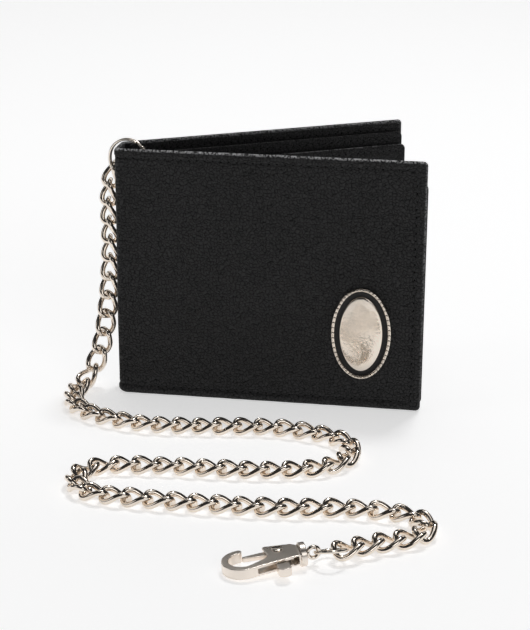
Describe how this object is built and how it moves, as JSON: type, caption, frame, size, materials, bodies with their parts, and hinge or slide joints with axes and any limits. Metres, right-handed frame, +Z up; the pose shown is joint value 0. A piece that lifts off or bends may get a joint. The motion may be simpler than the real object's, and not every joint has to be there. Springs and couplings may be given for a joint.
{
  "type": "chain wallet",
  "caption": "Black leather bifold wallet standing open, with a metal badge, a split ring in the fold and a curb chain ending in a swivel trigger hook.",
  "frame": {"origin": "bottom centre of the wallet's own box, chain and hook left out, on the surface it stands on", "axes": "+X from the fold along the front cover to its free edge, -Y the way the front cover faces, +Z up"},
  "size_m": [0.1354, 0.1982, 0.0917],
  "materials": {
    "outer_leather": "pebbled black leather, satin",
    "inner_leather": "thin smooth black leather, satin",
    "lining_fabric": "black woven lining",
    "chain_metal": "polished nickel plate",
    "ring_metal": "polished nickel plate",
    "badge_metal": "cast, polished nickel plate with darkened recess",
    "hook_metal": "polished nickel plate over die casting"
  },
  "bodies": {
    "front_half": {"cover_front": "outer_leather", "fold_spine": "outer_leather", "lining_front": "lining_fabric", "lining_spine": "lining_fabric", "bill_divider_front": "inner_leather", "card_pocket_front": "inner_leather", "inner_panel_front": "inner_leather", "edge_welt_front": "inner_leather", "foot_welt_front": "inner_leather", "eyelet": "ring_metal", "eyelet_washer": "ring_metal", "emblem_plate": "badge_metal", "emblem_washer_top": "ring_metal", "emblem_washer_low": "ring_metal", "chain_hanging": "chain_metal", "chain_bend_a": "chain_metal", "chain_run_a": "chain_metal", "chain_bend_b": "chain_metal", "chain_run_b": "chain_metal", "chain_bend_c": "chain_metal", "chain_run_c": "chain_metal", "chain_bend_d": "chain_metal", "chain_run_d": "chain_metal", "jump_ring": "ring_metal", "swivel_eye": "ring_metal"},
    "back_half": {"cover_back": "outer_leather", "lining_back": "lining_fabric", "bill_divider_back": "inner_leather", "card_pocket_back": "inner_leather", "inner_panel_back": "inner_leather", "edge_welt_back": "inner_leather", "foot_welt_back": "inner_leather"},
    "ring": {"split_ring": "ring_metal"},
    "hook": {"hook_frame": "hook_metal", "hook_rivet": "hook_metal"},
    "gate": {"hook_gate": "hook_metal"}
  },
  "joints": [
    {"name": "fold", "type": "hinge", "parent": "front_half", "child": "back_half", "pos_m": [-0.0512, -0.02117, 0], "axis": [0, 0, 1], "range_deg": [-28.5, 149]},
    {"name": "ring_turn", "type": "hinge", "parent": "front_half", "child": "ring", "pos_m": [-0.04785, -0.02704, 0.08425], "axis": [0.225, 0.9744, 0], "continuous": true},
    {"name": "swivel", "type": "hinge", "parent": "front_half", "child": "hook", "pos_m": [0.03065, -0.15297, 0.0036], "axis": [-0.9222, -0.3782, -0.0802], "continuous": true},
    {"name": "gate_pivot", "type": "hinge", "parent": "hook", "child": "gate", "pos_m": [0.02354, -0.15297, 0.00307], "axis": [-0.0742, -0.0304, 0.9968], "range_deg": [0, 22], "stiffness_Nm_per_rad": 0.002, "springref_deg": -11.46}
  ]
}
